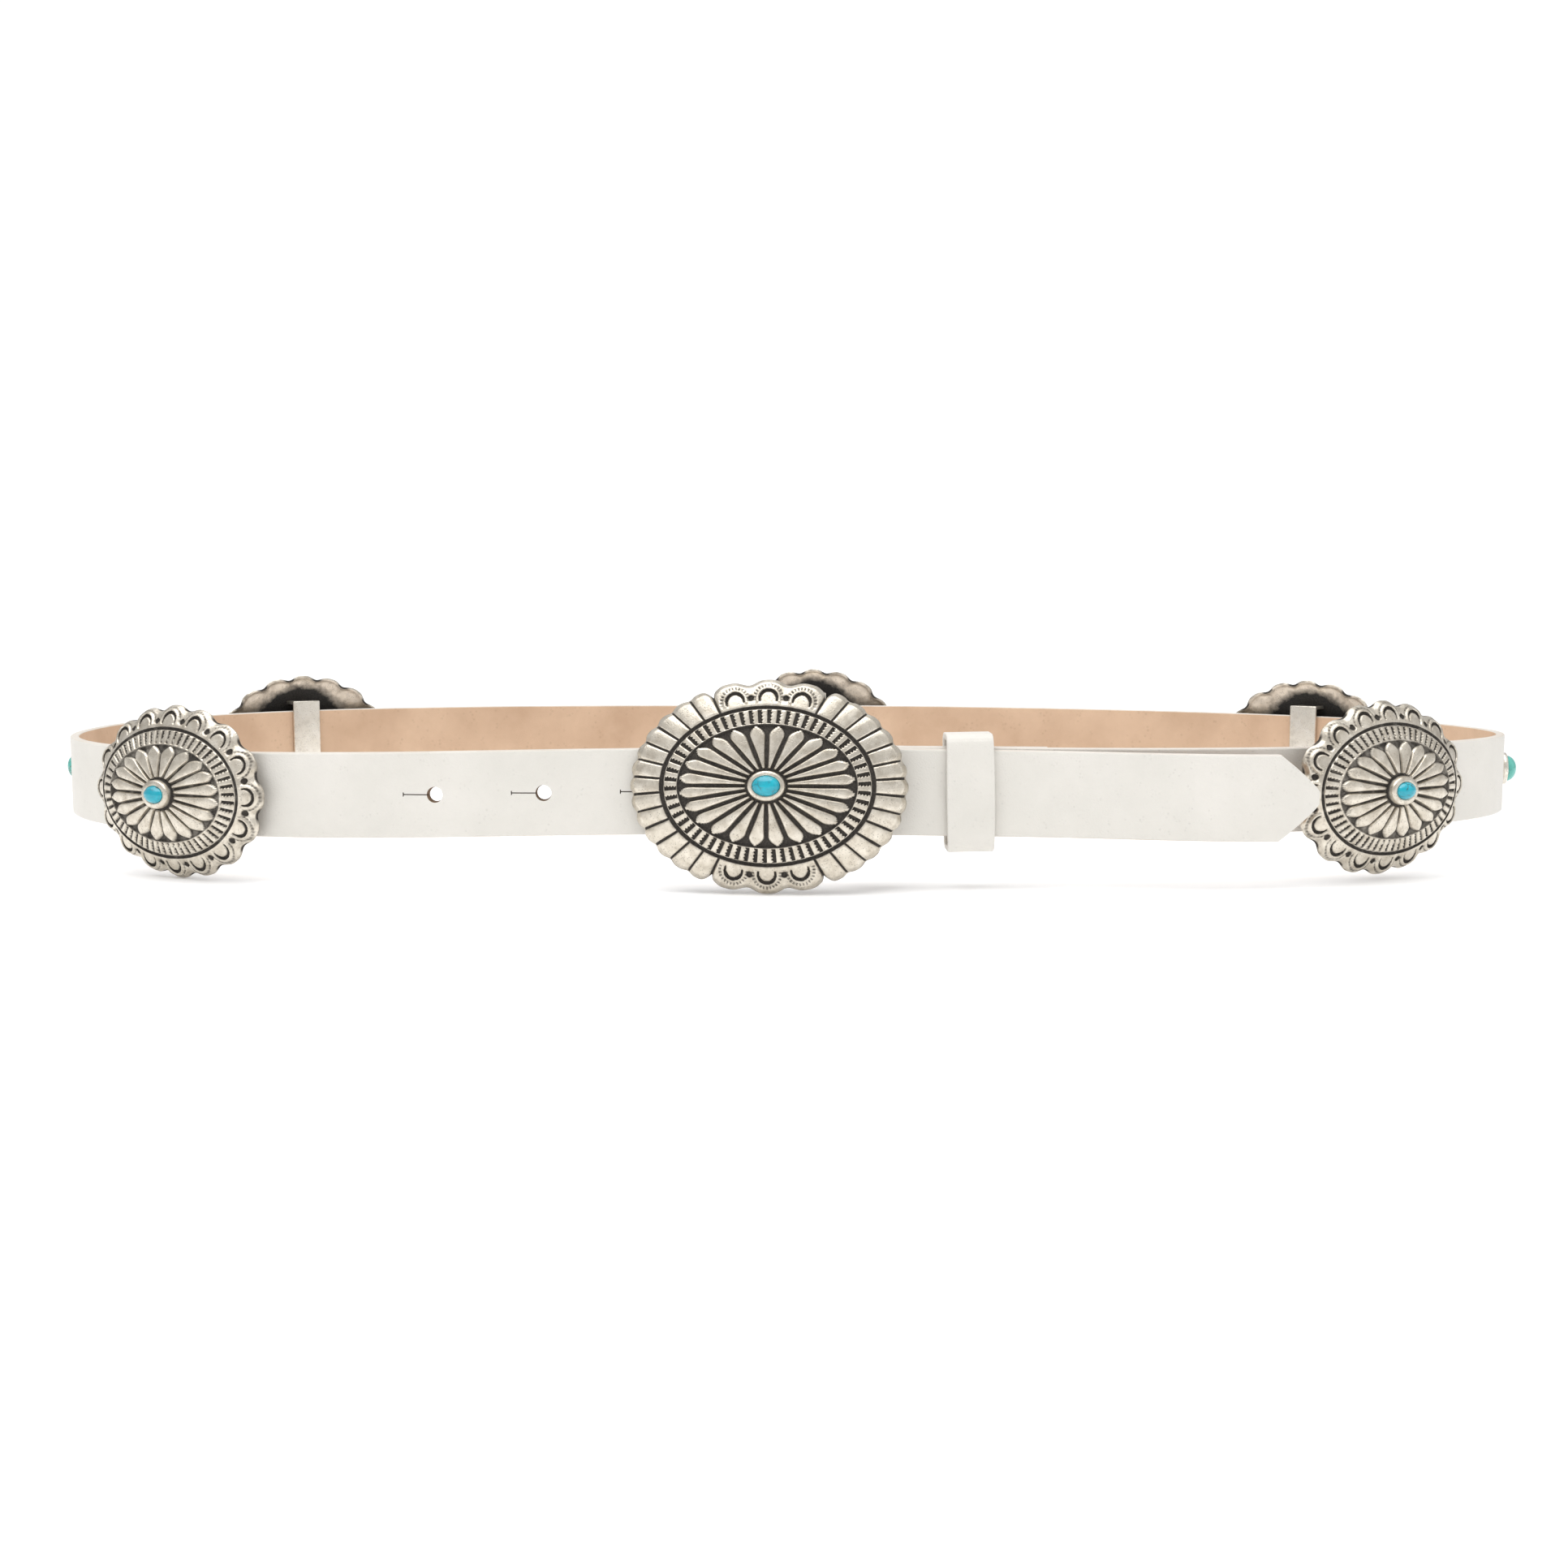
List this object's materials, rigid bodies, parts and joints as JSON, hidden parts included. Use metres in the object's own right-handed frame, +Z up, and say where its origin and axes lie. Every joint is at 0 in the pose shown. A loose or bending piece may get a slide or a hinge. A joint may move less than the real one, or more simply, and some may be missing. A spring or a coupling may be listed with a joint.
{
  "type": "concho belt",
  "caption": "Fastened leather belt standing on edge, with a domed oval plate buckle, a keeper, a pointed tip and cast oval conchos set with cabochons.",
  "frame": {"origin": "on the floor, under the middle of the whole belt's box", "axes": "+Z up, across the belt's width; the buckle faces -Y; +X runs along the front towards the pointed tip"},
  "size_m": [0.3878, 0.2144, 0.0481],
  "materials": {
    "white_leather": "satin white, fine grain, bare tan inside",
    "cast_silver": "antiqued cast metal, dark in the recesses",
    "turquoise": "polished blue turquoise cabochon with fine dark veins",
    "green_turquoise": "polished green turquoise cabochon"
  },
  "bodies": {
    "root": {"strap": "white_leather", "keeper": "white_leather", "fold_rivet": "cast_silver", "buckle_plate": "cast_silver", "buckle_stone": "turquoise", "concho_front_right": "cast_silver", "concho_back_right": "cast_silver", "concho_back": "cast_silver", "concho_back_left": "cast_silver", "concho_front_left": "cast_silver", "stone_front_right": "turquoise", "stone_back_right": "turquoise", "stone_back": "turquoise", "stone_back_left": "turquoise", "stone_front_left": "turquoise", "spot_cup_side_right": "cast_silver", "spot_cup_back_right": "cast_silver", "spot_cup_back_left": "cast_silver", "spot_cup_side_left": "cast_silver", "spot_stone_side_right": "green_turquoise", "spot_stone_back_right": "green_turquoise", "spot_stone_back_left": "green_turquoise", "spot_stone_side_left": "green_turquoise"}
  },
  "joints": []
}
